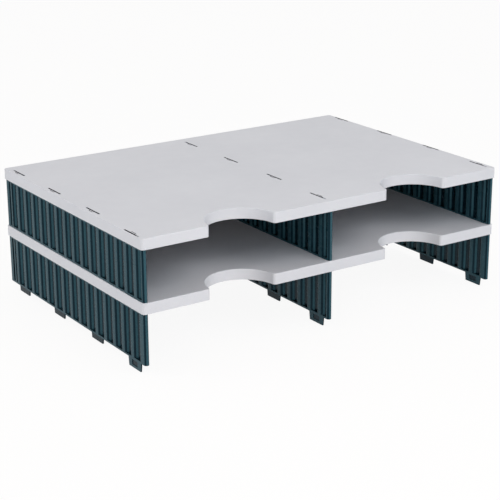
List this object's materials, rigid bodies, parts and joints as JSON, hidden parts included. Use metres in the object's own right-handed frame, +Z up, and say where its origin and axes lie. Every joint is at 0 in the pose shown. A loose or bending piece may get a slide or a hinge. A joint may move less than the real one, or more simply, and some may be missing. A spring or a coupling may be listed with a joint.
{
  "type": "document sorting station",
  "caption": "Stackable open-front sorting station for documents: flat shelves with half round finger notches on fluted side walls that plug together.",
  "frame": {"origin": "middle of the footprint, on the plane that the tips of the lowest tabs stand on", "axes": "+X to the right along the front, +Y to the back, +Z up; the front of every bay is open towards -Y"},
  "size_m": [0.485, 0.331, 0.151],
  "materials": {
    "shelf_plastic": "pale grey moulded plastic with a fine even texture and a soft gloss",
    "wall_plastic": "very dark blue-green moulded plastic with a satin gloss"
  },
  "bodies": {
    "root": {"top_shelf": "shelf_plastic", "middle_shelf": "shelf_plastic", "upper_left_wall": "wall_plastic", "upper_middle_wall": "wall_plastic", "upper_right_wall": "wall_plastic", "lower_left_wall": "wall_plastic", "lower_middle_wall": "wall_plastic", "lower_right_wall": "wall_plastic", "upper_left_back": "wall_plastic", "upper_right_back": "wall_plastic", "lower_left_back": "wall_plastic", "lower_right_back": "wall_plastic"}
  },
  "joints": []
}
